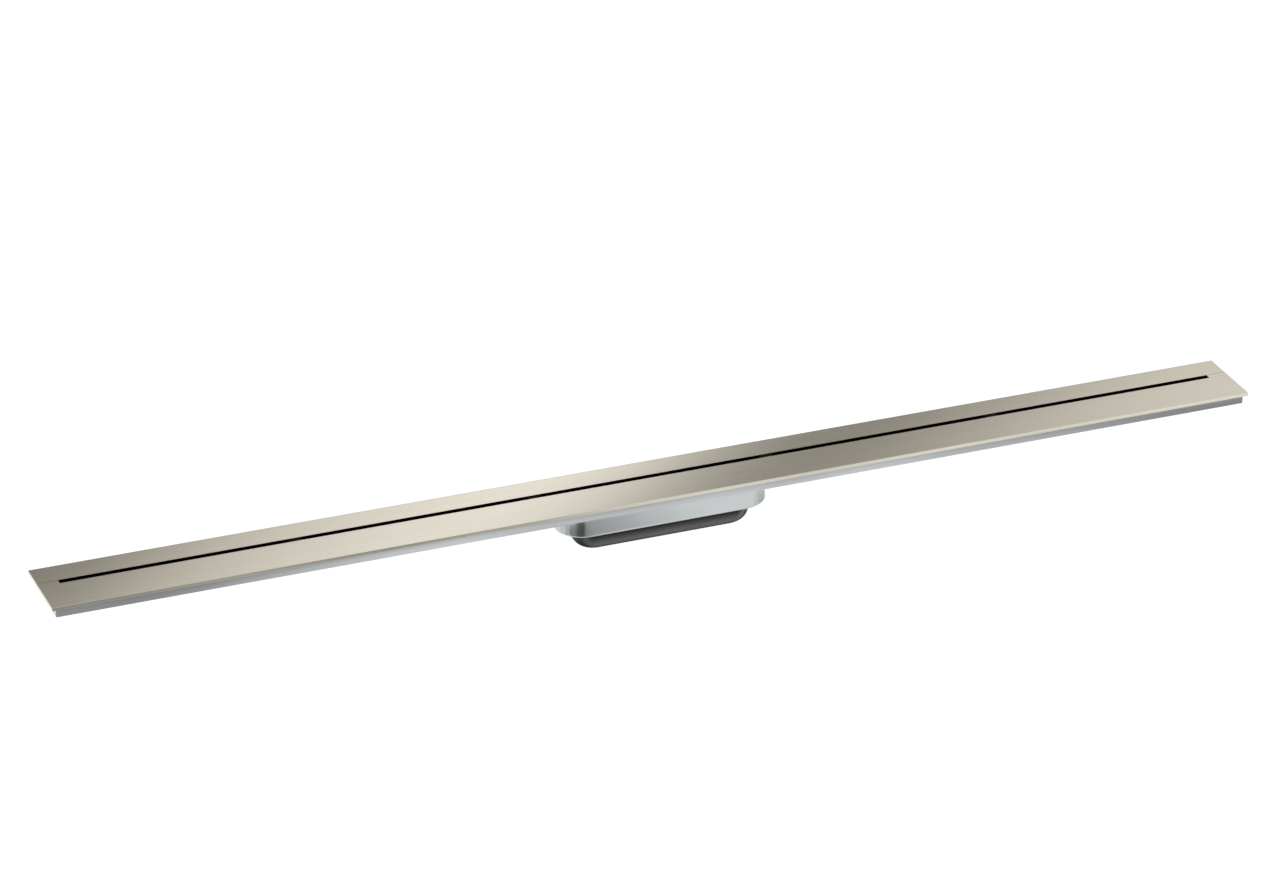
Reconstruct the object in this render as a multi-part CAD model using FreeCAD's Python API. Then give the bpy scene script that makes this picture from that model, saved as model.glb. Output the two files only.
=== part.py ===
import FreeCAD
import Part
import math
import os

# Linear shower drain: a slotted cover of two butted strips over a shallow tray, with a sump tub under
# its middle and a drop-in water trap hanging in the tub's floor.
# Millimetres. X runs along the drain, Y across it, Z up. The origin is on the ground under the
# middle of the trap body.

# Cover
cover_length = 1000.0
cover_width = 65.5
cover_thickness = 2.7
rear_strip_width = 23.7
slot_width = 4.8
slot_end_land = 16.6
seam_gap = 0.15
edge_break = 0.2

# Tray under the cover
tray_side_inset = 3.1
tray_end_inset = 3.4
tray_depth = 7.3
tray_sheet = 1.2
tray_bend_radius = 1.8
collar_depth = 1.0
collar_weld_leg = 0.8
mouth_bevel = 0.9

# Cross bridges that tie the two strips and stand in the tray on rubber pads
bridges_each_side = 3
bridge_width = 11.0
bridge_sheet = 1.2
bridge_wall_clearance = 0.6
bridge_strainer_clearance = 3.3
bridge_end_clearance = 0.5
bridge_dip = 2.3
bridge_dip_margin = 1.0
foot_length = 6.5
pad_thickness = 1.5
pad_corner = 0.4
pad_inset = 0.5

# Sump tub; its width follows the tray's
tub_length = 175.5
tub_side_setback = 4.25
tub_corner_radius = 21.8
tub_depth = 16.9
tub_sheet = 1.2
tub_bottom_radius = 1.8

# Trap body, hung by its rim in the tub's floor; its plan is the tub's, set back
body_end_setback = 11.65
body_side_setback = 3.7
body_corner_setback = 4.0
body_depth = 17.6
body_draft = 18.0
body_bottom_radius = 12.0
body_inner_bevel = 7.0
body_wall = 2.0
neck_clearance = 0.3
rim_clearance = 0.4
rim_thickness = 2.0
seal_thickness = 1.5
seal_setback = 0.2

# Standpipe and outlet inside the trap body
outlet_end_setback = 26.1
outlet_width = 9.4
standpipe_wall = 1.6
standpipe_height = 27.1
outlet_lead_in = 0.5
web_thickness = 1.6
web_height = 3.0

# Bell over the standpipe
bell_gap = 4.0
bell_wall = 1.5
bell_edge_height = 7.0
bell_overflow = 4.0
bell_top_bevel = 1.2
bell_rib_count = 3
bell_rib_pitch = 34.0
bell_rib_thickness = 1.6
bell_rib_lift = 2.5
bell_rib_clearance = 0.3
bell_grip_length = 36.0
bell_grip_width = 4.0
bell_grip_height = 2.4

# Hair strainer in the tub's mouth
strainer_lap = 2.5
strainer_thickness = 1.2
strainer_skirt = 2.0
strainer_clearance = 0.4
strainer_border = 3.0
strainer_spine = 6.0
strainer_slot_width = 3.2
strainer_slot_pitch = 5.6
shortest_slot = 7.0
grip_length = 34.0
grip_stem_width = 2.2
grip_head_width = 5.6
grip_head_height = 1.6
grip_top_clearance = 0.6

# Levels, from the ground up
ground = 0.0
tub_bottom = ground + body_depth
tub_floor = tub_bottom + tub_sheet
rim_bottom = tub_floor + seal_thickness
rim_top = rim_bottom + rim_thickness
tray_bottom = tub_bottom + tub_depth
collar_bottom = tray_bottom - collar_depth
tray_floor = tray_bottom + tray_sheet
cover_bottom = tray_bottom + tray_depth
cover_top = cover_bottom + cover_thickness
standpipe_top = ground + standpipe_height
bell_ceiling = standpipe_top + bell_overflow
bell_top = bell_ceiling + bell_wall
strainer_top = tray_floor + strainer_thickness

# Lines across the cover
rear_edge = cover_width / 2
front_edge = -cover_width / 2
slot_far = rear_edge - rear_strip_width
slot_near = slot_far - slot_width
slot_half_length = cover_length / 2 - slot_end_land
front_strip_back = slot_far - seam_gap

# Sizes that follow from the ones above
tray_length = cover_length - 2 * tray_end_inset
tray_width = cover_width - 2 * tray_side_inset
tray_inner_half_width = tray_width / 2 - tray_sheet
tray_inner_half_length = tray_length / 2 - tray_sheet
tub_width = tray_width - 2 * tub_side_setback
body_length = tub_length - 2 * body_end_setback
body_width = tub_width - 2 * body_side_setback
body_corner_radius = tub_corner_radius - body_corner_setback
outlet_length = body_length - 2 * outlet_end_setback
strainer_half_length = tub_length / 2 - tub_sheet + strainer_lap
bell_inner_length = outlet_length + 2 * (standpipe_wall + bell_gap)
bell_inner_width = outlet_width + 2 * (standpipe_wall + bell_gap)


def outline(length, width, radius, z):
    """Closed wire of a rectangle with round corners, centred on the Z axis."""
    x, y = length / 2, width / 2
    radius = min(radius, x, y)
    edges = []
    start = None
    for x_side, y_side, first_angle in ((1, -1, -90), (1, 1, 0), (-1, 1, 90), (-1, -1, 180)):
        centre = FreeCAD.Vector(x_side * (x - radius), y_side * (y - radius), z)
        points = []
        for step in (0, 45, 90):
            angle = math.radians(first_angle + step)
            points.append(centre + FreeCAD.Vector(math.cos(angle), math.sin(angle), 0) * radius)
        if start is None:
            start = points[0]
        elif (points[0] - edges[-1].Vertexes[-1].Point).Length > 1e-6:
            edges.append(Part.makeLine(edges[-1].Vertexes[-1].Point, points[0]))
        edges.append(Part.Arc(*points).toShape())
    if (start - edges[-1].Vertexes[-1].Point).Length > 1e-6:
        edges.append(Part.makeLine(edges[-1].Vertexes[-1].Point, start))
    return Part.Wire(edges)


def block(length, width, radius, low, high):
    """Upright solid on a round-cornered outline."""
    return Part.Face(outline(length, width, radius, low)).extrude(FreeCAD.Vector(0, 0, high - low))


def bar(length, width, low, high, x=0.0, y=0.0):
    """Square-cornered block centred on x and y."""
    return Part.makeBox(length, width, high - low, FreeCAD.Vector(x - length / 2, y - width / 2, low))


def edges_at(shape, level):
    """Edges that lie flat at one height."""
    return [edge for edge in shape.Edges
            if abs(edge.BoundBox.ZMin - level) < 1e-4 and abs(edge.BoundBox.ZMax - level) < 1e-4]


def plan_plate(points, low, high):
    """Flat plate from the corner points of its plan."""
    corners = [FreeCAD.Vector(x, y, low) for x, y in points]
    wire = Part.makePolygon(corners + corners[:1])
    return Part.Face(wire).extrude(FreeCAD.Vector(0, 0, high - low))


def broken_edges(plate):
    """The plate with its top edges just broken, as a brushed and deburred plate has them."""
    return plate.makeChamfer(edge_break, edges_at(plate, cover_top))


def folded_section(points, thickness):
    """Face of a folded sheet whose middle line runs through the points, round outside each fold."""
    middle_line = Part.makePolygon(points)
    left = middle_line.makeOffset2D(thickness / 2, 0, False, True)
    right = middle_line.makeOffset2D(-thickness / 2, 0, False, True)
    left_ends = left.OrderedVertexes
    right_ends = right.OrderedVertexes
    first_edge = Part.makeLine(left_ends[0].Point, right_ends[0].Point)
    last_edge = Part.makeLine(left_ends[-1].Point, right_ends[-1].Point)
    return Part.Face(Part.Wire(Part.__sortEdges__(left.Edges + right.Edges + [first_edge, last_edge])))


def rear_cover_strip():
    points = [(-cover_length / 2, slot_far), (cover_length / 2, slot_far),
              (cover_length / 2, rear_edge), (-cover_length / 2, rear_edge)]
    return broken_edges(plan_plate(points, cover_bottom, cover_top))


def front_cover_strip():
    """Front strip; its back edge is cut away between the end lands to leave the water slot."""
    end = cover_length / 2
    points = [(-end, front_edge), (end, front_edge), (end, front_strip_back),
              (slot_half_length, front_strip_back), (slot_half_length, slot_near),
              (-slot_half_length, slot_near), (-slot_half_length, front_strip_back),
              (-end, front_strip_back)]
    return broken_edges(plan_plate(points, cover_bottom, cover_top))


def bridge_positions():
    """On each side, evenly spaced from the strainer's end to the tray's end."""
    first = strainer_half_length + bridge_strainer_clearance + bridge_width / 2
    last = tray_inner_half_length - bridge_end_clearance - bridge_width / 2
    pitch = (last - first) / (bridges_each_side - 1)
    right = [first + pitch * index for index in range(bridges_each_side)]
    return [-x for x in reversed(right)] + right


def foot_side():
    """Distance from the middle to the outer face of a bridge's leg."""
    return tray_inner_half_width - bridge_wall_clearance


def cover_bridge(x):
    """Folded strip: flat under both cover strips, dipped under the slot, with a foot at each end."""
    side = foot_side() - bridge_sheet / 2
    top = cover_bottom - bridge_sheet / 2
    dip = top - bridge_dip
    foot = tray_floor + pad_thickness + bridge_sheet / 2
    dip_front = slot_near - bridge_dip_margin
    dip_rear = slot_far + bridge_dip_margin
    line = [(-side + foot_length, foot), (-side, foot), (-side, top),
            (dip_front - bridge_dip, top), (dip_front, dip), (dip_rear, dip), (dip_rear + bridge_dip, top),
            (side, top), (side, foot), (side - foot_length, foot)]
    section = folded_section([FreeCAD.Vector(0, y, z) for y, z in line], bridge_sheet)
    strip = section.extrude(FreeCAD.Vector(bridge_width, 0, 0))
    strip.translate(FreeCAD.Vector(x - bridge_width / 2, 0, 0))
    return strip


def bridge_pad(x, side):
    """Rubber pad between a bridge's foot and the tray's floor."""
    width = foot_length - 2 * pad_inset
    y = side * (foot_side() - pad_inset - width / 2)
    pad = bar(bridge_width - 2 * pad_inset, width, tray_floor, tray_floor + pad_thickness, x, y)
    uprights = [edge for edge in pad.Edges if edge.BoundBox.ZLength > pad_thickness / 2]
    return pad.makeChamfer(pad_corner, uprights)


def folds(shape, level):
    """The long fold lines of the tray's floor at one level."""
    return [edge for edge in edges_at(shape, level) if edge.BoundBox.XLength > tray_length / 2]


def channel_tray():
    """Folded sheet channel with welded ends, and a collar that carries the tub."""
    outer = bar(tray_length, tray_width, tray_bottom, cover_bottom)
    outer = outer.makeFillet(tray_bend_radius, folds(outer, tray_bottom))
    inner = bar(2 * tray_inner_half_length, 2 * tray_inner_half_width, tray_floor, cover_bottom)
    inner = inner.makeFillet(tray_bend_radius - tray_sheet, folds(inner, tray_floor))
    collar = block(tub_length, tub_width, tub_corner_radius, collar_bottom, tray_floor)
    tray = outer.cut(inner).fuse(collar).removeSplitter()
    root = [edge for edge in edges_at(tray, tray_bottom)
            if edge.BoundBox.XMax < tub_length / 2 + 0.1 and edge.BoundBox.XMin > -tub_length / 2 - 0.1
            and edge.BoundBox.YMax < tub_width / 2 + 0.1 and edge.BoundBox.YMin > -tub_width / 2 - 0.1]
    tray = tray.makeChamfer(collar_weld_leg, root)
    tray = tray.cut(block(tub_length - 2 * tub_sheet, tub_width - 2 * tub_sheet,
                          tub_corner_radius - tub_sheet, collar_bottom, tray_floor))
    mouth = [edge for edge in edges_at(tray, tray_floor)
             if max(abs(edge.BoundBox.XMin), abs(edge.BoundBox.XMax)) < tub_length / 2
             and max(abs(edge.BoundBox.YMin), abs(edge.BoundBox.YMax)) < tub_width / 2]
    return tray.makeChamfer(mouth_bevel, mouth)


def sump_tub():
    """Drawn tub, open at the top, with an opening in its floor for the trap body's neck."""
    outer = block(tub_length, tub_width, tub_corner_radius, tub_bottom, collar_bottom)
    outer = outer.makeFillet(tub_bottom_radius, edges_at(outer, tub_bottom))
    inner = block(tub_length - 2 * tub_sheet, tub_width - 2 * tub_sheet,
                  tub_corner_radius - tub_sheet, tub_floor, collar_bottom)
    opening = block(body_length + 2 * neck_clearance, body_width + 2 * neck_clearance,
                    body_corner_radius + neck_clearance, tub_bottom, tub_floor)
    return outer.cut(inner).cut(opening)


def trap_seal():
    """Flat rubber seal between the trap body's rim and the tub's floor."""
    gap = tub_sheet + rim_clearance + seal_setback
    outer = block(tub_length - 2 * gap, tub_width - 2 * gap, tub_corner_radius - gap, tub_floor, rim_bottom)
    return outer.cut(block(body_length + 2 * neck_clearance, body_width + 2 * neck_clearance,
                           body_corner_radius + neck_clearance, tub_floor, rim_bottom))


def tapered(inset, low):
    """The trap body's drafted form below the tub, set in by a wall and cut off at one level."""
    drop = tub_bottom - low
    taper = drop * math.tan(math.radians(body_draft))
    top = outline(body_length - 2 * inset, body_width - 2 * inset, body_corner_radius - inset, tub_bottom)
    foot = inset + taper
    bottom = outline(body_length - 2 * foot, body_width - 2 * foot, body_corner_radius - foot, low)
    return Part.makeLoft([top, bottom], True, True)


def trap_body():
    """Moulded cup with a wide rim, and a standpipe that rises round the outlet in its bottom."""
    gap = tub_sheet + rim_clearance
    rim = block(tub_length - 2 * gap, tub_width - 2 * gap, tub_corner_radius - gap, rim_bottom, rim_top)
    neck = block(body_length, body_width, body_corner_radius, tub_bottom, rim_bottom)
    bowl = tapered(0.0, ground)
    bowl = bowl.makeFillet(body_bottom_radius, edges_at(bowl, ground))
    bowl_inside = tapered(body_wall, ground + body_wall)
    bowl_inside = bowl_inside.makeChamfer(body_inner_bevel, edges_at(bowl_inside, ground + body_wall))
    neck_inside = block(body_length - 2 * body_wall, body_width - 2 * body_wall,
                        body_corner_radius - body_wall, tub_bottom, rim_top)
    cup = bowl.fuse(neck).fuse(rim).cut(neck_inside.fuse(bowl_inside))
    web_length = body_length - 2 * body_wall - 2 * body_bottom_radius
    web = bar(web_length, web_thickness, ground + body_wall / 2, ground + body_wall + web_height)
    pipe = block(outlet_length + 2 * standpipe_wall, outlet_width + 2 * standpipe_wall,
                 outlet_width / 2 + standpipe_wall, ground, standpipe_top)
    bore = block(outlet_length, outlet_width, outlet_width / 2, ground, standpipe_top)
    body = cup.fuse(web).fuse(pipe).cut(bore).removeSplitter()
    lip = [edge for edge in edges_at(body, ground)
           if max(abs(edge.BoundBox.YMin), abs(edge.BoundBox.YMax)) < outlet_width / 2 + 0.01]
    return body.makeChamfer(outlet_lead_in, lip)


def bell_rib(x):
    """Pair of side ribs that sit on the standpipe's top and centre the bell round it."""
    rib = bar(bell_rib_thickness, bell_inner_width + bell_wall, bell_edge_height + bell_rib_lift,
              bell_ceiling + bell_wall / 2, x)
    saddle_growth = standpipe_wall + bell_rib_clearance
    saddle = block(outlet_length + 2 * saddle_growth, outlet_width + 2 * saddle_growth,
                   outlet_width / 2 + saddle_growth, ground, standpipe_top)
    overflow = block(outlet_length, outlet_width, outlet_width / 2, ground, bell_ceiling)
    return rib.cut(saddle).cut(overflow)


def trap_bell():
    """Removable bell: its edge dips below the standpipe's top and holds the water seal."""
    outer = block(bell_inner_length + 2 * bell_wall, bell_inner_width + 2 * bell_wall,
                  bell_inner_width / 2 + bell_wall, bell_edge_height, bell_top)
    outer = outer.makeChamfer(bell_top_bevel, edges_at(outer, bell_top))
    bell = outer.cut(block(bell_inner_length, bell_inner_width, bell_inner_width / 2,
                           bell_edge_height, bell_ceiling))
    for index in range(bell_rib_count):
        bell = bell.fuse(bell_rib((index - (bell_rib_count - 1) / 2) * bell_rib_pitch))
    grip = block(bell_grip_length, bell_grip_width, bell_grip_width / 2,
                 bell_ceiling + bell_wall / 2, bell_top + bell_grip_height)
    return bell.fuse(grip).removeSplitter()


def strainer_slots():
    """Two rows of cross slots that shorten towards the round ends of the tub's mouth."""
    half_length = tub_length / 2 - tub_sheet - strainer_clearance - strainer_border
    half_width = tub_width / 2 - tub_sheet - strainer_clearance - strainer_border
    corner = tub_corner_radius - tub_sheet - strainer_clearance - strainer_border
    steps = int((half_length - strainer_slot_width / 2) / strainer_slot_pitch)
    slots = []
    for step in range(-steps, steps + 1):
        x = step * strainer_slot_pitch
        past_corner = max(0.0, abs(x) + strainer_slot_width / 2 - (half_length - corner))
        reach = half_width - corner + math.sqrt(max(0.0, corner ** 2 - past_corner ** 2))
        slot_length = reach - strainer_spine / 2
        if slot_length < shortest_slot:
            continue
        for side in (-1, 1):
            y = side * (strainer_spine + slot_length) / 2
            slots.append(bar(strainer_slot_width, slot_length, tray_floor, strainer_top, x, y))
    return slots


def strainer_grip():
    """Finger rail on the strainer's spine: a stem with a wider head."""
    top = cover_bottom - grip_top_clearance
    stem = bar(grip_length, grip_stem_width, tray_floor, top)
    head = block(grip_length, grip_head_width, grip_head_width / 2, top - grip_head_height, top)
    return stem.fuse(head)


def hair_strainer():
    """Slotted plate over the tub's mouth, with a short skirt that keeps it in place."""
    grow = strainer_lap - tub_sheet
    plate = block(2 * strainer_half_length, tub_width + 2 * grow, tub_corner_radius + grow,
                  tray_floor, strainer_top)
    gap = tub_sheet + strainer_clearance
    skirt = block(tub_length - 2 * gap, tub_width - 2 * gap, tub_corner_radius - gap,
                  tray_floor - strainer_skirt, tray_floor)
    gap = gap + strainer_thickness
    skirt = skirt.cut(block(tub_length - 2 * gap, tub_width - 2 * gap, tub_corner_radius - gap,
                            tray_floor - strainer_skirt, tray_floor))
    plate = plate.cut(Part.makeCompound(strainer_slots()))
    return plate.fuse(skirt).fuse(strainer_grip()).removeSplitter()


def all_parts():
    """Every piece under its own name."""
    parts = {
        "rear_cover_strip": rear_cover_strip(),
        "front_cover_strip": front_cover_strip(),
        "channel_tray": channel_tray(),
        "sump_tub": sump_tub(),
        "trap_seal": trap_seal(),
        "trap_body": trap_body(),
        "trap_bell": trap_bell(),
        "hair_strainer": hair_strainer(),
    }
    for number, x in enumerate(bridge_positions(), 1):
        parts["cover_bridge_%d" % number] = cover_bridge(x)
        parts["bridge_pad_front_%d" % number] = bridge_pad(x, -1)
        parts["bridge_pad_rear_%d" % number] = bridge_pad(x, 1)
    return parts


os.makedirs("parts", exist_ok=True)
for name, shape in all_parts().items():
    shape.exportStep("parts/%s.step" % name)
    print(name, "solids", len(shape.Solids), "valid", shape.isValid(), "volume", round(shape.Volume, 1))
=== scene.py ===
import bpy
import bmesh
import math
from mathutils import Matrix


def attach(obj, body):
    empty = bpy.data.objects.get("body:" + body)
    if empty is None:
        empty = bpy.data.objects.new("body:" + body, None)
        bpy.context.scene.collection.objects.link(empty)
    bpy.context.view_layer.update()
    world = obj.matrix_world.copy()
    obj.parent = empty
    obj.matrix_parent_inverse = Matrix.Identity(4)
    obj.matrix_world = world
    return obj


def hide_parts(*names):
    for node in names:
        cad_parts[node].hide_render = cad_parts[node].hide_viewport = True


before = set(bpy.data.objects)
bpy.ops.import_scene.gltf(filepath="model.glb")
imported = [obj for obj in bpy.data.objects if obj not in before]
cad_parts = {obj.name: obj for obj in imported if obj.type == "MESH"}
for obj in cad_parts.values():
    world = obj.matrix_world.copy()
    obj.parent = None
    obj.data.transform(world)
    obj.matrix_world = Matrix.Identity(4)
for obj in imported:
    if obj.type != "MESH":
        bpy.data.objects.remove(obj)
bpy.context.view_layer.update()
print("frame loaded:", len(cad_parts), "nodes")

mm = 0.001      # the pieces' sizes are written in millimetres
noiseLow, noiseHigh = 0.3, 0.7      # most values of a noise texture lie between these


# Small helpers

def deselectAll():
    if bpy.context.mode != "OBJECT":
        bpy.ops.object.mode_set(mode="OBJECT")
    bpy.ops.object.select_all(action="DESELECT")


def node(tree, kind, **values):
    made = tree.nodes.new(kind)
    for key, value in values.items():
        if key in made.inputs:
            made.inputs[key].default_value = value
        else:
            setattr(made, key, value)
    return made


def maths(tree, operation, *values):
    made = node(tree, "ShaderNodeMath", operation=operation)
    for socket, value in zip(made.inputs, values):
        if isinstance(value, (int, float)):
            socket.default_value = value
        else:
            tree.links.new(value, socket)
    return made.outputs[0]


def ramp(tree, value, stops, full=1.0):
    # a smooth run of greys; a ramp holds no more than 1, so they are kept as shares of the full tone
    made = tree.nodes.new("ShaderNodeValToRGB")
    band = made.color_ramp
    band.interpolation = "CARDINAL"
    while len(band.elements) < len(stops):
        band.elements.new(0.5)
    for element, (place, tone) in zip(band.elements, stops):
        element.position = place
        element.color = (tone / full, tone / full, tone / full, 1)
    tree.links.new(value, made.inputs[0])
    return made.outputs[0]


def mapRange(tree, value, low, high, newLow=0.0, newHigh=1.0):
    made = tree.nodes.new("ShaderNodeMapRange")
    tree.links.new(value, made.inputs["Value"])
    for key, number in (("From Min", low), ("From Max", high), ("To Min", newLow), ("To Max", newHigh)):
        made.inputs[key].default_value = number
    return made.outputs["Result"]


def mixColour(tree, amount, first, second, blend="MIX"):
    made = node(tree, "ShaderNodeMix", data_type="RGBA", blend_type=blend)
    for index, value in ((0, amount), (6, first), (7, second)):
        socket = made.inputs[index]
        if isinstance(value, (int, float)):
            socket.default_value = value
        elif isinstance(value, tuple):
            socket.default_value = (*value, 1)
        else:
            tree.links.new(value, socket)
    return made.outputs[2]


def axes(tree, coordinates="Object"):
    # X, Y and Z of a place on the object, or of a direction in the sky
    place = node(tree, "ShaderNodeTexCoord")
    split = node(tree, "ShaderNodeSeparateXYZ")
    tree.links.new(place.outputs[coordinates], split.inputs[0])
    return split.outputs


def blankMaterial(name):
    material = bpy.data.materials.new(name)
    material.use_nodes = True
    material.node_tree.nodes.clear()
    return material, material.node_tree


def toOutput(tree, shader, kind="ShaderNodeOutputMaterial"):
    tree.links.new(shader, node(tree, kind).inputs[0])


# Camera, light and floor

view = {
    "place": (-1.4175, -3.5348, 1.9651),
    "azimuth": 21.64,    # degrees round from straight ahead
    "elevation": 26.35,  # degrees looking down
    "lens": 153.5,
    "sensor": 36.0,
    "nearest": 0.05,     # metres
    "farthest": 60,
}


def addCamera():
    data = bpy.data.cameras.new("camera")
    data.lens = view["lens"]
    data.sensor_width = view["sensor"]
    data.clip_start = view["nearest"]
    data.clip_end = view["farthest"]
    camera = bpy.data.objects.new("camera", data)
    camera.location = view["place"]
    camera.rotation_euler = (math.radians(90 - view["elevation"]), 0, math.radians(-view["azimuth"]))
    bpy.context.scene.collection.objects.link(camera)
    bpy.context.scene.camera = camera


studio = {
    "skyTop": 0.95,
    "skyHorizon": 0.45,
    "lowLight": 0.70,        # from under the horizon
    "horizonSoft": 0.005,    # how far the two run into each other, as a share of the whole height
    "backdrop": 1.02,        # what the camera sees past the floor
    "floorGlow": 1.13,
    "floorGlowShare": 0.88,  # the rest of the floor is plain paper
    "floorTone": 0.95,
    "floorSize": 30.0,
}


def addWorld():
    world = bpy.data.worlds.new("studio")
    bpy.context.scene.world = world
    world.use_nodes = True
    tree = world.node_tree
    tree.nodes.clear()
    link = tree.links.new
    low, horizon, top, soft = (studio[key] for key in ("lowLight", "skyHorizon", "skyTop", "horizonSoft"))
    height = mapRange(tree, axes(tree, "Generated")["Z"], -1.0, 1.0)
    sky = ramp(tree, height, ((0.0, low), (0.5 - soft, low), (0.5 + soft, horizon), (1.0, top)))
    softLight = node(tree, "ShaderNodeBackground")
    link(sky, softLight.inputs["Color"])
    backdrop = node(tree, "ShaderNodeBackground", Color=(1, 1, 1, 1), Strength=studio["backdrop"])
    rays = node(tree, "ShaderNodeLightPath")
    mix = node(tree, "ShaderNodeMixShader")
    link(rays.outputs["Is Camera Ray"], mix.inputs[0])
    link(softLight.outputs[0], mix.inputs[1])
    link(backdrop.outputs[0], mix.inputs[2])
    toOutput(tree, mix.outputs[0], "ShaderNodeOutputWorld")


def addFloor():
    deselectAll()
    bpy.ops.mesh.primitive_plane_add(size=studio["floorSize"], location=(0, 0, 0))
    floor = bpy.context.object
    floor.name = "floor"
    material, tree = blankMaterial("floorPaper")
    link = tree.links.new
    glow = node(tree, "ShaderNodeEmission", Color=(1, 1, 1, 1), Strength=studio["floorGlow"])
    tone = studio["floorTone"]
    paper = node(tree, "ShaderNodeBsdfDiffuse", Color=(tone, tone, tone, 1))
    mix = node(tree, "ShaderNodeMixShader")
    mix.inputs[0].default_value = 1 - studio["floorGlowShare"]
    link(glow.outputs[0], mix.inputs[1])
    link(paper.outputs[0], mix.inputs[2])
    # seen from below, the floor is clear
    clear = node(tree, "ShaderNodeBsdfTransparent")
    side = node(tree, "ShaderNodeNewGeometry")
    face = node(tree, "ShaderNodeMixShader")
    link(side.outputs["Backfacing"], face.inputs[0])
    link(mix.outputs[0], face.inputs[1])
    link(clear.outputs[0], face.inputs[2])
    toOutput(tree, face.outputs[0])
    floor.data.materials.append(material)
    floor.visible_glossy = False


lightBank = {          # a tall soft bank behind the drain, which the brushed top mirrors
    "y": 0.55,
    "left": -0.75,
    "right": 1.15,
    "foot": 0.02,
    "head": 0.75,
    "lean": 1.3,       # how far the bands lean to the left for each metre up
    "middle": 0.30,    # the height where they stand at the places given
    "strength": 1.05,
    "full": 1.25,
    "shade": (1.0, 0.97, 0.90),     # the dim bands are a little warmer than the bright ones
    "bands": (         # where each stands, as a share of the width, and how bright it is
        (0.05, 0.18), (0.20, 0.17), (0.235, 0.145), (0.256, 0.17), (0.276, 0.28), (0.294, 0.46),
        (0.312, 0.63), (0.36, 0.72), (0.42, 0.94), (0.453, 1.04), (0.484, 1.16), (0.514, 0.96),
        (0.545, 0.54), (0.563, 0.28), (0.582, 0.16), (0.61, 0.11), (0.636, 0.16), (0.661, 0.25),
        (0.716, 0.42), (0.777, 0.63), (0.81, 0.70), (0.95, 0.77)),
}


def addLightBank():
    left, right, foot, head, full = (lightBank[key] for key in ("left", "right", "foot", "head", "full"))
    width = right - left
    middle = ((left + right) / 2, lightBank["y"], (foot + head) / 2)
    deselectAll()
    bpy.ops.mesh.primitive_plane_add(size=1, location=middle, rotation=(math.radians(90), 0, 0))
    bank = bpy.context.object
    bank.name = "lightBank"
    bank.scale = (width, head - foot, 1)
    bpy.ops.object.transform_apply(location=True, rotation=True, scale=True)
    material, tree = blankMaterial("bankCloth")
    place = axes(tree)
    rise = maths(tree, "SUBTRACT", place["Z"], lightBank["middle"])
    upright = maths(tree, "ADD", place["X"], maths(tree, "MULTIPLY", rise, lightBank["lean"]))
    across = maths(tree, "DIVIDE", maths(tree, "SUBTRACT", upright, left), width)
    bands = ramp(tree, across, lightBank["bands"], full)
    tint = mixColour(tree, maths(tree, "MULTIPLY", bands, full), lightBank["shade"], (1.0, 1.0, 1.0))
    glow = node(tree, "ShaderNodeEmission", Strength=lightBank["strength"] * full)
    tree.links.new(mixColour(tree, 1.0, bands, tint, "MULTIPLY"), glow.inputs["Color"])
    toOutput(tree, glow.outputs[0])
    bank.data.materials.append(material)
    bank.visible_camera = False
    bank.visible_shadow = False


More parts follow.
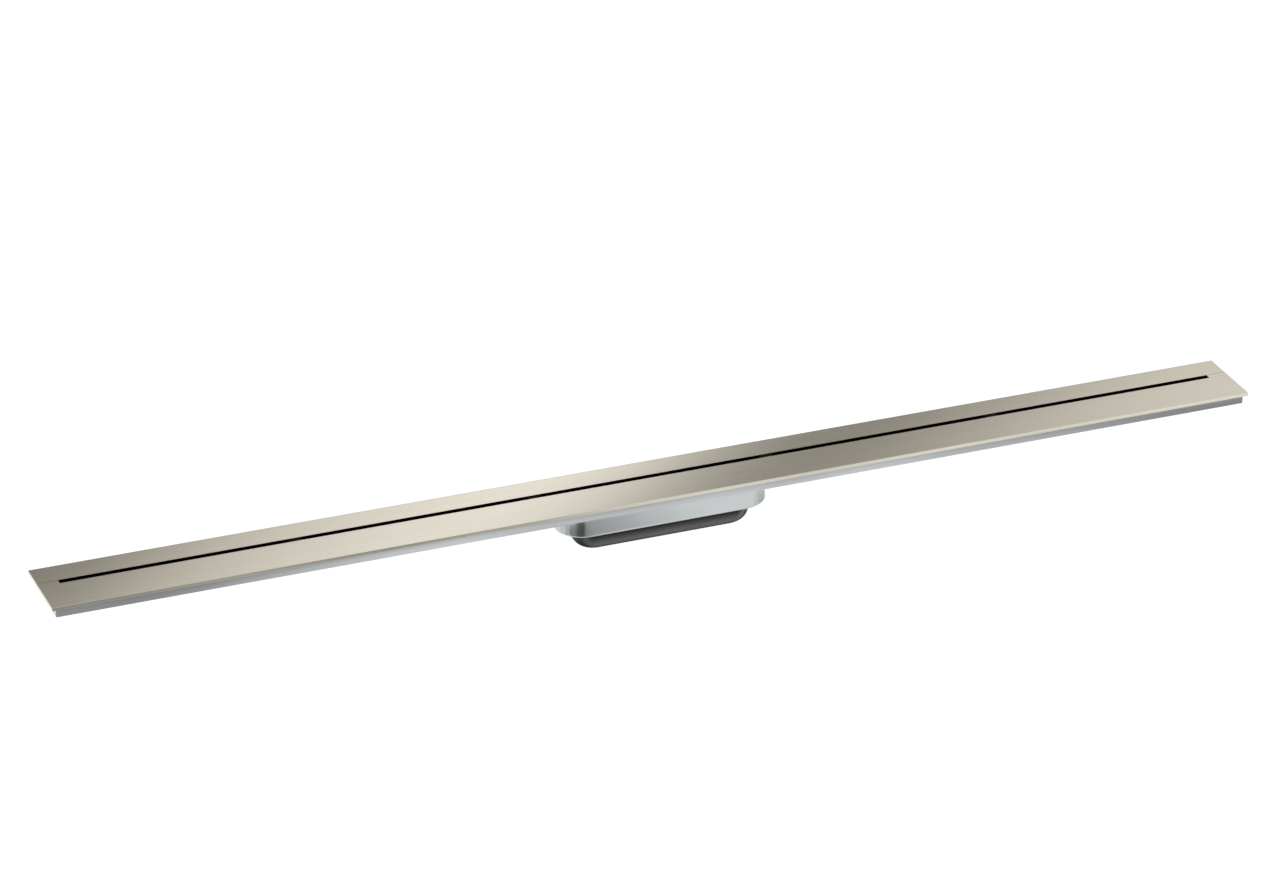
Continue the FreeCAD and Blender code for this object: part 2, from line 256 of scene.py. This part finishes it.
glowTable = {          # a lit table top, seen in reflections only, that the upright faces mirror
    "size": 6.0,
    "drop": 0.0005,    # under the floor
    "left": -0.65,
    "right": 0.75,
    "full": 2.0,
    "tones": {         # each from left to right: where, as a share of the width, and how bright
        "edge": (
            (0.00, 0.24), (0.16, 0.27), (0.23, 0.38), (0.31, 0.12), (0.38, 0.20), (0.45, 0.77),
            (0.52, 0.90), (0.60, 0.82), (0.66, 1.07), (0.72, 1.05), (0.80, 1.30), (1.00, 1.30)),
        "trayTop": (
            (0.00, 0.38), (0.15, 0.36), (0.18, 0.28), (0.22, 0.28), (0.30, 0.57), (0.375, 0.68), (0.45, 0.31),
            (0.52, 0.44), (0.56, 0.36), (0.605, 0.44), (0.655, 0.34), (0.72, 0.15), (0.80, 0.11), (1.00, 0.11)),
        "tray": (
            (0.00, 0.45), (0.14, 0.43), (0.175, 0.44), (0.22, 0.64), (0.30, 1.00), (0.375, 1.03), (0.45, 0.97),
            (0.52, 0.96), (0.56, 0.90), (0.605, 1.00), (0.655, 0.79), (0.72, 0.71), (0.80, 0.35), (1.00, 0.33)),
        "tub": (
            (0.00, 0.44), (0.15, 0.42), (0.22, 0.62), (0.30, 0.50), (0.345, 0.85), (0.370, 0.80), (0.380, 0.36),
            (0.388, 0.18), (0.400, 0.11), (0.409, 0.13), (0.4145, 0.32), (0.429, 0.41), (0.457, 0.62),
            (0.48, 0.77), (0.50, 0.86), (0.54, 0.87), (0.60, 0.82), (0.66, 0.74), (0.72, 0.72), (0.80, 0.60),
            (1.00, 0.60)),
        "near": (
            (0.00, 0.62), (0.360, 0.92), (0.368, 0.66), (0.376, 0.33), (0.385, 0.30), (0.392, 0.20),
            (0.404, 0.15), (0.414, 0.38), (0.432, 0.80), (0.53, 0.90), (0.545, 0.73), (0.56, 0.76),
            (1.00, 0.80)),
        "foot": ((0.00, 0.60), (0.40, 0.60), (0.415, 0.30), (0.52, 0.30), (0.54, 0.58), (1.00, 0.80)),
        "lip": (
            (0.00, 0.60), (0.36, 0.70), (0.373, 0.54), (0.385, 0.60), (0.41, 1.50), (0.53, 1.50), (0.545, 0.62),
            (0.556, 0.66), (0.563, 0.80), (1.00, 0.85)),
        "beneath": (
            (0.00, 0.90), (0.37, 0.76), (0.40, 0.90), (0.415, 0.10), (0.515, 0.10), (0.53, 0.58),
            (0.556, 0.58), (0.563, 0.78), (1.00, 0.85)),
        "behind": ((0.00, 0.95), (0.50, 0.90), (0.54, 0.78), (0.56, 0.82), (0.60, 0.92), (1.00, 0.92)),
    },
    "strips": (        # from the front backwards: where each begins and where it is full, mm
        ("edge", -9000.0, -8000.0),
        ("trayTop", -110.5, -107.5),
        ("tray", -106.5, -94.0),
        ("tub", -90.0, -88.0),
        ("near", -57.0, -52.0),
        ("foot", -34.0, -31.0),
        ("lip", -29.0, -22.0),
        ("beneath", -20.5, -12.5),
        ("behind", 10.0, 14.0)),
}


def addGlowTable():
    deselectAll()
    bpy.ops.mesh.primitive_plane_add(size=glowTable["size"], location=(0, 0, -glowTable["drop"]))
    table = bpy.context.object
    table.name = "glowTable"
    bpy.ops.object.transform_apply(location=True, rotation=False, scale=False)
    material, tree = blankMaterial("tableGlow")
    place = axes(tree)
    across = mapRange(tree, place["X"], glowTable["left"], glowTable["right"])
    tone = (0.0, 0.0, 0.0)
    for name, begins, whole in glowTable["strips"]:
        share = mapRange(tree, place["Y"], begins * mm, whole * mm)
        tone = mixColour(tree, share, tone, ramp(tree, across, glowTable["tones"][name], glowTable["full"]))
    glow = node(tree, "ShaderNodeEmission", Strength=glowTable["full"])
    tree.links.new(tone, glow.inputs["Color"])
    toOutput(tree, glow.outputs[0])
    table.data.materials.append(material)
    table.visible_camera = False
    table.visible_diffuse = False
    table.visible_shadow = False


addCamera()
addWorld()
addFloor()
addLightBank()
addGlowTable()
bpy.context.scene.view_settings.view_transform = "Standard"
print("camera, light and floor ready")


# Shared effects: each takes a place on the piece and gives plain values

def newGroup(name, inputs, outputs):
    tree = bpy.data.node_groups.new(name, "ShaderNodeTree")
    tree.interface.new_socket(name="Vector", in_out="INPUT", socket_type="NodeSocketVector")
    for label, value in inputs:
        socket = tree.interface.new_socket(name=label, in_out="INPUT", socket_type="NodeSocketFloat")
        socket.default_value = value
    for label in outputs:
        tree.interface.new_socket(name=label, in_out="OUTPUT", socket_type="NodeSocketFloat")
    return tree, tree.nodes.new("NodeGroupInput"), tree.nodes.new("NodeGroupOutput")


def buildGrain():
    # long brushed lines: Fine for bump and roughness, Broad for slow streaks of tone
    tree, given, out = newGroup("brushedGrain", (("Along", 8.0), ("Across", 1500.0)), ("Fine", "Broad"))
    link = tree.links.new
    stretch = node(tree, "ShaderNodeCombineXYZ")
    link(given.outputs["Along"], stretch.inputs[0])
    link(given.outputs["Across"], stretch.inputs[1])
    link(given.outputs["Across"], stretch.inputs[2])
    for label, share, detail in (("Fine", 1.0, 3.0), ("Broad", 0.11, 2.0)):
        scaled = node(tree, "ShaderNodeVectorMath", operation="MULTIPLY")
        link(given.outputs["Vector"], scaled.inputs[0])
        link(stretch.outputs[0], scaled.inputs[1])
        noise = node(tree, "ShaderNodeTexNoise", Scale=share, Detail=detail, Roughness=0.6)
        link(scaled.outputs[0], noise.inputs["Vector"])
        link(noise.outputs["Fac"], out.inputs[label])
    return tree


def buildEdgeWear():
    # white where an edge has been rubbed
    tree, given, out = newGroup("edgeWear", (("Radius", 0.0004), ("Amount", 1.0)), ("Mask",))
    link = tree.links.new
    bevel = node(tree, "ShaderNodeBevel", samples=4)
    link(given.outputs["Radius"], bevel.inputs["Radius"])
    surface = node(tree, "ShaderNodeNewGeometry")
    dot = node(tree, "ShaderNodeVectorMath", operation="DOT_PRODUCT")
    link(bevel.outputs[0], dot.inputs[0])
    link(surface.outputs["Normal"], dot.inputs[1])
    contrast, breakUp = 4.0, 900.0
    turned = maths(tree, "MULTIPLY", maths(tree, "SUBTRACT", 1.0, dot.outputs["Value"]), contrast)
    noise = node(tree, "ShaderNodeTexNoise", Scale=breakUp, Detail=3.0)
    link(given.outputs["Vector"], noise.inputs["Vector"])
    broken = maths(tree, "MULTIPLY", turned, noise.outputs["Fac"])
    held = node(tree, "ShaderNodeClamp")
    link(maths(tree, "MULTIPLY", broken, given.outputs["Amount"]), held.inputs[0])
    link(held.outputs[0], out.inputs["Mask"])
    return tree


def buildMouldSkin():
    # the fine skin of moulded plastic or rubber, and slow clouds of tone
    tree, given, out = newGroup("mouldSkin", (("Scale", 2500.0),), ("Height", "Cloud"))
    link = tree.links.new
    fine = node(tree, "ShaderNodeTexNoise", Detail=4.0, Roughness=0.65)
    link(given.outputs["Vector"], fine.inputs["Vector"])
    link(given.outputs["Scale"], fine.inputs["Scale"])
    link(fine.outputs["Fac"], out.inputs["Height"])
    cloud = node(tree, "ShaderNodeTexNoise", Scale=35.0, Detail=2.0)
    link(given.outputs["Vector"], cloud.inputs["Vector"])
    link(cloud.outputs["Fac"], out.inputs["Cloud"])
    return tree


effects = {"brushedGrain": buildGrain(), "edgeWear": buildEdgeWear(), "mouldSkin": buildMouldSkin()}


def effect(tree, name, vector, **values):
    made = tree.nodes.new("ShaderNodeGroup")
    made.node_tree = effects[name]
    tree.links.new(vector, made.inputs["Vector"])
    for key, value in values.items():
        made.inputs[key].default_value = value
    return made


def newMaterial(name):
    material, tree = blankMaterial(name)
    shader = tree.nodes.new("ShaderNodeBsdfPrincipled")
    toOutput(tree, shader.outputs[0])
    return material, tree, shader


def between(tree, value, low, high):
    over = maths(tree, "GREATER_THAN", value, low)
    return maths(tree, "MULTIPLY", over, maths(tree, "LESS_THAN", value, high))


def addRelief(tree, shader, height, look):
    # the fine relief bumps the surface and also varies how rough it is
    link = tree.links.new
    link(mapRange(tree, height, noiseLow, noiseHigh, look["smooth"], look["rough"]), shader.inputs["Roughness"])
    bump = node(tree, "ShaderNodeBump", Strength=look["bump"], Distance=look["depth"])
    link(height, bump.inputs["Height"])
    link(bump.outputs[0], shader.inputs["Normal"])


def steel(name, look):
    material, tree, shader = newMaterial(name)
    link = tree.links.new
    place = node(tree, "ShaderNodeTexCoord").outputs["Object"]
    brushed = effect(tree, "brushedGrain", place, Along=look["grainAlong"], Across=look["grainAcross"])
    worn = effect(tree, "edgeWear", place, Radius=look["wearRadius"], Amount=look["wear"])
    tone = mapRange(tree, brushed.outputs["Broad"], noiseLow, noiseHigh)
    colour = mixColour(tree, tone, look["dark"], look["light"])
    colour = mixColour(tree, worn.outputs["Mask"], colour, look["edge"])
    for slot in look.get("slots", ()):      # painted shade on the walls down inside the water slot and along the seam gap between the strips
        spot = axes(tree)
        across = between(tree, spot["Y"], slot["near"] * mm, slot["far"] * mm)
        along = between(tree, spot["X"], -slot["half"] * mm, slot["half"] * mm)
        low = maths(tree, "LESS_THAN", spot["Z"], slot["top"] * mm)
        # where shade is painted: inside the given span across and along, and below the given top
        paintedShadeMask = maths(tree, "MULTIPLY", maths(tree, "MULTIPLY", across, along), low)
        colour = mixColour(tree, paintedShadeMask, colour, slot["tone"])
    shader.inputs["Metallic"].default_value = 1.0
    shader.inputs["Anisotropic"].default_value = look["anisotropic"]
    addRelief(tree, shader, brushed.outputs["Fine"], look)
    if look["anisotropic"] > 0:     # the grain lies along u, so light spreads across it
        shader.inputs["Anisotropic Rotation"].default_value = 0.25
        tangent = node(tree, "ShaderNodeTangent", direction_type="UV_MAP", uv_map="UVMap")
        link(tangent.outputs[0], shader.inputs["Tangent"])
    link(colour, shader.inputs["Base Color"])
    return material


def moulded(name, look):
    material, tree, shader = newMaterial(name)
    place = node(tree, "ShaderNodeTexCoord").outputs["Object"]
    skin = effect(tree, "mouldSkin", place, Scale=look["grain"])
    worn = effect(tree, "edgeWear", place, Radius=look["wearRadius"], Amount=look["wear"])
    cloudLow, cloudHigh = 0.35, 0.65
    cloud = mapRange(tree, skin.outputs["Cloud"], cloudLow, cloudHigh)
    colour = mixColour(tree, cloud, look["dark"], look["light"])
    tree.links.new(mixColour(tree, worn.outputs["Mask"], colour, look["edge"]), shader.inputs["Base Color"])
    addRelief(tree, shader, skin.outputs["Height"], look)
    return material


finishes = {
    "cover_steel": steel("brushedNickel", {
        "dark": (0.79, 0.74, 0.635), "light": (0.82, 0.77, 0.665), "edge": (0.90, 0.86, 0.78),
        "grainAlong": 20.0, "grainAcross": 4000.0, "smooth": 0.17, "rough": 0.23, "anisotropic": 0.6,
        "bump": 0.18, "depth": 0.00002, "wearRadius": 0.0005, "wear": 0.4,
        # painted shade: the first entry darkens the walls inside the water slot, the second the seam gap
        # between the two strips
        "slots": ({"near": 3.88, "far": 9.42, "half": 483.5, "top": 44.47, "tone": (0.012, 0.012, 0.011)},
                  {"near": 9.08, "far": 9.40, "half": 499.9, "top": 44.51, "tone": (0.05, 0.05, 0.045)})}),
    "tray_steel": steel("traySteel", {
        "dark": (0.62, 0.64, 0.643), "light": (0.65, 0.67, 0.673), "edge": (0.76, 0.77, 0.775),
        "grainAlong": 12.0, "grainAcross": 2500.0, "smooth": 0.12, "rough": 0.15, "anisotropic": 0.2,
        "bump": 0.03, "depth": 0.00002, "wearRadius": 0.0004, "wear": 0.3}),
    "tub_steel": steel("tubSteel", {
        "dark": (0.63, 0.662, 0.665), "light": (0.66, 0.695, 0.698), "edge": (0.78, 0.80, 0.81),
        "grainAlong": 200.0, "grainAcross": 900.0, "smooth": 0.09, "rough": 0.12, "anisotropic": 0.0,
        "bump": 0.025, "depth": 0.00002, "wearRadius": 0.0005, "wear": 0.3}),
    "bridge_steel": steel("bridgeSteel", {
        "dark": (0.55, 0.57, 0.58), "light": (0.63, 0.65, 0.66), "edge": (0.75, 0.76, 0.77),
        "grainAlong": 300.0, "grainAcross": 1200.0, "smooth": 0.28, "rough": 0.40, "anisotropic": 0.0,
        "bump": 0.15, "depth": 0.00003, "wearRadius": 0.0004, "wear": 0.5}),
    "trap_plastic": moulded("trapPlastic", {
        "dark": (0.007, 0.007, 0.0075), "light": (0.010, 0.010, 0.0105), "edge": (0.03, 0.03, 0.032),
        "grain": 2400.0, "smooth": 0.13, "rough": 0.20, "bump": 0.08, "depth": 0.00003,
        "wearRadius": 0.0006, "wear": 0.3}),
    "bell_plastic": moulded("bellPlastic", {
        "dark": (0.045, 0.046, 0.048), "light": (0.055, 0.056, 0.058), "edge": (0.08, 0.08, 0.085),
        "grain": 2600.0, "smooth": 0.34, "rough": 0.46, "bump": 0.2, "depth": 0.00004,
        "wearRadius": 0.0005, "wear": 0.3}),
    "strainer_plastic": moulded("strainerPlastic", {
        "dark": (0.11, 0.115, 0.12), "light": (0.13, 0.135, 0.14), "edge": (0.18, 0.185, 0.19),
        "grain": 2600.0, "smooth": 0.34, "rough": 0.48, "bump": 0.2, "depth": 0.00004,
        "wearRadius": 0.0005, "wear": 0.3}),
    "pad_rubber": moulded("padRubber", {
        "dark": (0.018, 0.018, 0.018), "light": (0.025, 0.025, 0.025), "edge": (0.04, 0.04, 0.04),
        "grain": 1500.0, "smooth": 0.6, "rough": 0.8, "bump": 0.3, "depth": 0.00005,
        "wearRadius": 0.0004, "wear": 0.3}),
    "seal_rubber": moulded("sealRubber", {
        "dark": (0.02, 0.02, 0.02), "light": (0.028, 0.028, 0.028), "edge": (0.05, 0.05, 0.05),
        "grain": 1800.0, "smooth": 0.55, "rough": 0.72, "bump": 0.3, "depth": 0.00005,
        "wearRadius": 0.0004, "wear": 0.3}),
}

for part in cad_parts.values():
    for index, carried in enumerate(part.data.materials):
        part.data.materials[index] = finishes[carried.name]
print("finishes ready:", len(finishes))


# Modelling by hand, in edit mode

handling = {
    "sameHeight": 0.02,    # what lies this near counts as one, mm
    "sameLine": 0.01,
    "samePoint": 0.001,
    "cornerSlack": 0.3,    # how far inside an outline its own points may lie
    "bridgeDrop": 20.0,    # how far an outline is lowered while it is bridged to one at its height
    "sharp": 35,           # degrees; edges that turn more than this are sharp
    "roundSteps": 2,
    "sliver": 0.02,        # points this near are merged after a bevel, mm
    "longEdge": 500.0,     # only the tray's long sides are longer, mm
    "uvCube": 0.1,         # metres
}


def startPiece(name):
    deselectAll()
    mesh = bpy.data.meshes.new(name)
    piece = bpy.data.objects.new(name, mesh)
    bpy.context.scene.collection.objects.link(piece)
    bpy.context.view_layer.objects.active = piece
    piece.select_set(True)
    bpy.ops.object.mode_set(mode="EDIT")
    bpy.ops.mesh.select_mode(type="VERT")
    return piece


def addLoop(length, width, radius, height, steps):
    # a flat outline with round corners; the loop is left selected
    bpy.ops.mesh.primitive_plane_add(size=1, location=(0, 0, height * mm))
    bpy.ops.transform.resize(value=(length * mm, width * mm, 1), center_override=(0, 0, height * mm))
    if radius > 0:
        bpy.ops.mesh.bevel(offset=radius * mm, segments=steps, affect="VERTICES")
    bpy.ops.mesh.delete(type="ONLY_FACE")


def pick(piece, kind, test):
    # selects the vertices, edges or faces that pass a test, and nothing else
    bpy.ops.mesh.select_mode(type=kind)
    bpy.ops.mesh.select_all(action="DESELECT")
    edit = bmesh.from_edit_mesh(piece.data)
    for item in {"VERT": edit.verts, "EDGE": edit.edges, "FACE": edit.faces}[kind]:
        if test(item):
            item.select_set(True)
    edit.select_flush_mode()
    bmesh.update_edit_mesh(piece.data)


def shellFromLoops(piece, loops, steps):
    # bridges each outline to the next, and the last to the first
    counts = []
    for number, (length, width, radius, height) in enumerate(loops, 1):
        addLoop(length, width, radius, height, steps)
        edit = bmesh.from_edit_mesh(piece.data)
        mark = edit.verts.layers.int.get("outline") or edit.verts.layers.int.new("outline")
        fresh = [v for v in edit.verts if v[mark] == 0]
        for v in fresh:
            v[mark] = number
        counts.append(len(fresh))

    def pickOutlines(*numbers):
        mark = bmesh.from_edit_mesh(piece.data).verts.layers.int["outline"]
        pick(piece, "VERT", lambda v: v[mark] in numbers)

    for index in range(len(loops)):
        following = (index + 1) % len(loops)
        if counts[index] != counts[following]:      # a square outline round a rounded one
            pickOutlines(index + 1, following + 1)
            bpy.ops.mesh.fill()
            continue
        # two outlines at one height bridge askew, so the second is lowered for it and put back
        drop = handling["bridgeDrop"] * mm if loops[index][3] == loops[following][3] else 0
        pickOutlines(following + 1)
        bpy.ops.transform.translate(value=(0, 0, -drop))
        pickOutlines(index + 1, following + 1)
        bpy.ops.mesh.bridge_edge_loops()
        pickOutlines(following + 1)
        bpy.ops.transform.translate(value=(0, 0, drop))
    bpy.ops.mesh.select_all(action="SELECT")
    bpy.ops.mesh.remove_doubles(threshold=handling["samePoint"] * mm)
    bpy.ops.mesh.normals_make_consistent(inside=False)


def level(edge, height):
    return all(abs(v.co.z - height * mm) < handling["sameHeight"] * mm for v in edge.verts)


def inset(outline, amount):
    # an outline is its length, width and corner radius
    length, width, corner = outline
    return length - 2 * amount, width - 2 * amount, corner - amount


def onOutline(edge, outline, height):
    # tells an outline's own edges from those that run inwards and from a smaller outline at its height
    length, width, corner = outline
    middleX, middleY = (length / 2 - corner) * mm, (width / 2 - corner) * mm
    reach = (corner - handling["cornerSlack"]) * mm
    return level(edge, height) and all(
        math.hypot(max(0, abs(v.co.x) - middleX), max(0, abs(v.co.y) - middleY)) > reach for v in edge.verts)


def onLongSide(edge, width, height):
    # the two edges that run the whole length of a straight outline
    aside = max(abs(abs(v.co.y) - width / 2 * mm) for v in edge.verts)
    isLong = edge.calc_length() > handling["longEdge"] * mm
    return level(edge, height) and aside < handling["sameLine"] * mm and isLong


def roundEdges(piece, test, width, steps):
    pick(piece, "EDGE", test)
    bpy.ops.mesh.bevel(offset=width * mm, segments=steps, affect="EDGES", clamp_overlap=False)


def applyModifier(piece, name, kind, **settings):
    modifier = piece.modifiers.new(name, kind)
    for key, value in settings.items():
        setattr(modifier, key, value)
    bpy.ops.object.modifier_apply(modifier=modifier.name)


def finishPiece(piece, slot, nodeName, soft, weighed=False):
    sharp = math.radians(handling["sharp"])
    bpy.ops.mesh.select_all(action="SELECT")
    bpy.ops.uv.cube_project(cube_size=handling["uvCube"], correct_aspect=False, scale_to_bounds=False)
    bpy.ops.object.mode_set(mode="OBJECT")
    bpy.ops.object.shade_smooth_by_angle(angle=sharp)
    # a small round on every edge that is still sharp, or on each by its own weight
    applyModifier(piece, "softEdges", "BEVEL", width=soft * mm, segments=handling["roundSteps"],
                  limit_method="WEIGHT" if weighed else "ANGLE", angle_limit=sharp, harden_normals=True)
    # the bevel leaves slivers where edges fan out from a corner
    applyModifier(piece, "mergeClose", "WELD", merge_threshold=handling["sliver"] * mm)
    # large flat faces keep their own direction, so light doesn't bend across them
    applyModifier(piece, "evenNormals", "WEIGHTED_NORMAL", keep_sharp=True)
    piece.data.materials.append(finishes[slot])
    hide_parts(nodeName)
    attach(piece, "root")


cover = {               # the rear strip and the front strip, with the water slot between them
    "length": 1000.0, "front": -32.75, "rear": 32.75, "top": 44.5, "bottom": 41.8,
    "slotNear": 3.95, "slotFar": 9.35, "slotHalf": 483.4, "seam": 0.22,
    "edge": 0.12, "slotEdge": 0.05, "corner": 0.6,      # rounds in mm, and what turn in radians gets one
}


def addPlate(near, far):
    # a flat plate as long as the cover, level with its underside
    middle = (0, (near + far) / 2 * mm, cover["bottom"] * mm)
    bpy.ops.mesh.primitive_plane_add(size=1, location=middle)
    bpy.ops.transform.resize(value=(cover["length"] * mm, (far - near) * mm, 1), center_override=middle)


def addRearStrip():
    piece = startPiece("rearStrip")
    addPlate(cover["slotFar"], cover["rear"])
    extrudeStrip(piece, "rear_cover_strip")


def addFrontStrip():
    piece = startPiece("frontStrip")
    addPlate(cover["front"], cover["slotFar"] - cover["seam"])
    half, near = cover["slotHalf"] * mm, cover["slotNear"] * mm
    for point, normal in (((-half, 0, 0), (1, 0, 0)), ((half, 0, 0), (1, 0, 0)), ((0, near, 0), (0, 1, 0))):
        bpy.ops.mesh.select_all(action="SELECT")
        bpy.ops.mesh.bisect(plane_co=point, plane_no=normal)
    pick(piece, "FACE", lambda f: f.calc_center_median().y > near and abs(f.calc_center_median().x) < half)
    bpy.ops.mesh.delete(type="FACE")
    extrudeStrip(piece, "front_cover_strip")


def extrudeStrip(piece, nodeName):
    rise = (0, 0, (cover["top"] - cover["bottom"]) * mm)
    bpy.ops.mesh.select_all(action="SELECT")
    bpy.ops.mesh.extrude_region_move(TRANSFORM_OT_translate={"value": rise})
    bpy.ops.mesh.select_all(action="SELECT")
    bpy.ops.mesh.normals_make_consistent(inside=False)
    # the slot's own edges are crisper than the rest
    low = (cover["slotNear"] - handling["sameLine"]) * mm
    high = (cover["slotFar"] + handling["sameLine"]) * mm
    for crisp, weight in ((False, 1.0), (True, cover["slotEdge"] / cover["edge"])):
        pick(piece, "EDGE", lambda e: e.calc_face_angle(0) > cover["corner"]
             and all(low < v.co.y < high for v in e.verts) == crisp)
        bpy.ops.transform.edge_bevelweight(value=weight)
    finishPiece(piece, "cover_steel", nodeName, cover["edge"], weighed=True)


addRearStrip()
addFrontStrip()
print("cover strips ready")


tray = {
    "length": 993.2, "width": 59.3, "bottom": 34.5, "top": 41.8, "sheet": 1.2,
    "bend": 0.7, "bendSteps": 6, "bendInside": 0.3, "bendInsideSteps": 4,
    "collar": 33.5, "weld": 0.6, "mouth": 0.9, "soft": 0.12, "sliver": 0.03,
}
tub = {
    "outline": (175.5, 50.8, 21.8), "opening": (152.8, 44.0, 18.1), "steps": 14,
    "bottom": 17.6, "sheet": 1.2, "bottomRound": 1.8, "roundSteps": 6, "soft": 0.15,
}


def addTray():
    # outlines from the outside of the walls, under the floor and up through the mouth to their inside
    piece = startPiece("trayChannel")
    floor = tray["bottom"] + tray["sheet"]
    length, width = tray["length"], tray["width"]
    innerLength, innerWidth = length - 2 * tray["sheet"], width - 2 * tray["sheet"]
    collar = tub["outline"]
    collarInside = inset(collar, tray["sheet"])
    loops = (
        (length, width, 0, tray["top"]),
        (length, width, 0, tray["bottom"]),
        (*inset(collar, -tray["weld"]), tray["bottom"]),
        (*collar, tray["bottom"] - tray["weld"]),
        (*collar, tray["collar"]),
        (*collarInside, tray["collar"]),
        (*collarInside, floor - tray["mouth"]),
        (*inset(collarInside, -tray["mouth"]), floor),
        (innerLength, innerWidth, 0, floor),
        (innerLength, innerWidth, 0, tray["top"]))
    shellFromLoops(piece, loops, tub["steps"])
    for height, across, radius, steps in (
            (tray["bottom"], width, tray["bend"], tray["bendSteps"]),
            (floor, innerWidth, tray["bendInside"], tray["bendInsideSteps"])):
        roundEdges(piece, lambda e: onLongSide(e, across, height), radius, steps)
    bpy.ops.mesh.select_all(action="SELECT")
    bpy.ops.mesh.remove_doubles(threshold=tray["sliver"] * mm)
    finishPiece(piece, "tray_steel", "channel_tray", tray["soft"])


def addTub():
    piece = startPiece("tubShell")
    outer, opening, sheet, bottom = tub["outline"], tub["opening"], tub["sheet"], tub["bottom"]
    floor = bottom + sheet
    inner = inset(outer, sheet)
    loops = (
        (*outer, tray["collar"]),
        (*outer, bottom),
        (*opening, bottom),
        (*opening, floor),
        (*inner, floor),
        (*inner, tray["collar"]))
    shellFromLoops(piece, loops, tub["steps"])
    for height, outline, radius in ((bottom, outer, tub["bottomRound"]),
                                    (floor, inner, tub["bottomRound"] - sheet)):
        roundEdges(piece, lambda e: onOutline(e, outline, height), radius, tub["roundSteps"])
    finishPiece(piece, "tub_steel", "sump_tub", tub["soft"])


addTray()
addTub()
print("tray and tub ready")


trap = {
    "outline": (152.2, 43.4, 17.8), "rim": (172.3, 47.6, 20.2), "outlet": (100.0, 9.4, 4.7), "steps": 14,
    "neckBottom": 17.6, "rimBottom": 20.3, "rimTop": 22.3, "wall": 2.0, "draft": 18.0,
    "bottomRound": 12.0, "bottomSteps": 12, "innerRound": 7.0, "innerSteps": 6,
    "pipeWall": 1.6, "pipeTop": 27.1, "leadIn": 0.5, "soft": 0.15,
}


def addTrap():
    # outlines from the rim down the outside, up through the standpipe and back up the inside
    piece = startPiece("trapCup")
    body, rim, outlet, wall = trap["outline"], trap["rim"], trap["outlet"], trap["wall"]
    taper = math.tan(math.radians(trap["draft"]))
    foot = inset(body, trap["neckBottom"] * taper)
    innerFoot = inset(body, (trap["neckBottom"] - wall) * taper + wall)
    neck = inset(body, wall)
    pipe = inset(outlet, -trap["pipeWall"])
    loops = (
        (*rim, trap["rimTop"]),
        (*rim, trap["rimBottom"]),
        (*body, trap["rimBottom"]),
        (*body, trap["neckBottom"]),
        (*foot, 0.0),
        (*inset(outlet, -trap["leadIn"]), 0.0),
        (*outlet, trap["leadIn"]),
        (*outlet, trap["pipeTop"]),
        (*pipe, trap["pipeTop"]),
        (*pipe, wall),
        (*innerFoot, wall),
        (*neck, trap["neckBottom"]),
        (*neck, trap["rimTop"]))
    shellFromLoops(piece, loops, trap["steps"])
    # the walls lean, so a round needs less width from its edge than on a square corner
    spread = 1 / math.tan(math.radians((90 + trap["draft"]) / 2))
    for height, outline, radius, steps in ((0.0, foot, trap["bottomRound"], trap["bottomSteps"]),
                                           (wall, innerFoot, trap["innerRound"], trap["innerSteps"])):
        roundEdges(piece, lambda e: onOutline(e, outline, height), radius * spread, steps)
    finishPiece(piece, "trap_plastic", "trap_body", trap["soft"])


addTrap()
print("trap cup ready")
